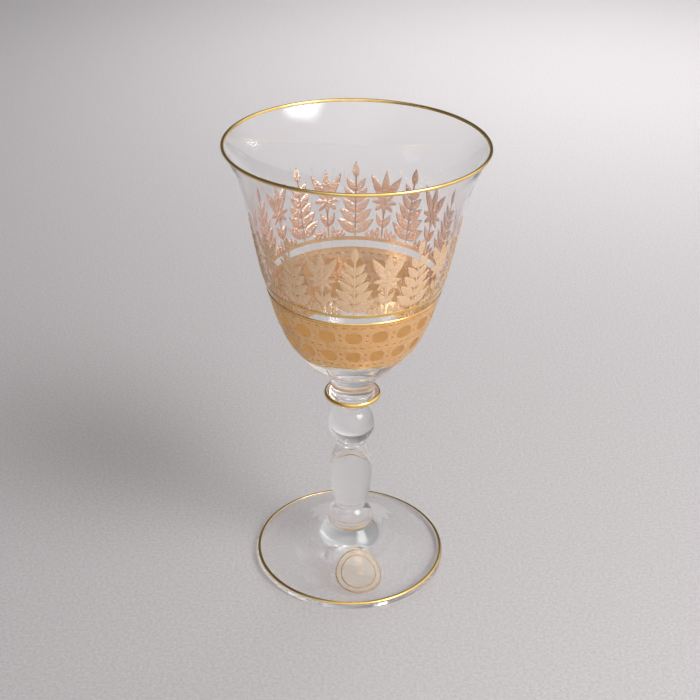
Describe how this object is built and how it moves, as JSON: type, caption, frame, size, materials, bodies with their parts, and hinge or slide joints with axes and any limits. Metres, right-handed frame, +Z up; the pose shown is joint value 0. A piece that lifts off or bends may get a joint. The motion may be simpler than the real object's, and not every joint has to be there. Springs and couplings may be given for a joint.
{
  "type": "juice goblet",
  "caption": "Stemmed clear glass goblet with a flared bowl, knopped stem and disc foot, gold lines, a raised leaf frieze and a gilded cane-webbing band, for serving juice.",
  "frame": {"origin": "middle of the foot on the table plane", "axes": "+Z up along the axis of the goblet, -Y towards the picture's camera"},
  "size_m": [0.0878, 0.0878, 0.1656],
  "materials": {
    "clear_glass": "clear, fire-polished",
    "bright_gold": "burnished fired gold",
    "satin_gold": "satin fired gold over etched relief",
    "amber_gold": "matt amber gold",
    "clear_film": "clear gloss film"
  },
  "bodies": {
    "root": {"foot": "clear_glass", "base_knop": "clear_glass", "baluster": "clear_glass", "ball_knop": "clear_glass", "collar": "clear_glass", "bowl": "clear_glass", "lip_gilding": "bright_gold", "frieze_sprigs": "satin_gold", "frieze_rosettes": "satin_gold", "frieze_border": "satin_gold", "frieze_ring": "bright_gold", "cane_top_ring": "bright_gold", "cane_web": "bright_gold", "cane_ground": "amber_gold", "cane_bottom_ring": "bright_gold", "collar_gilding": "bright_gold", "foot_gilding": "bright_gold", "foot_seal": "clear_film", "seal_rings": "bright_gold"}
  },
  "joints": []
}
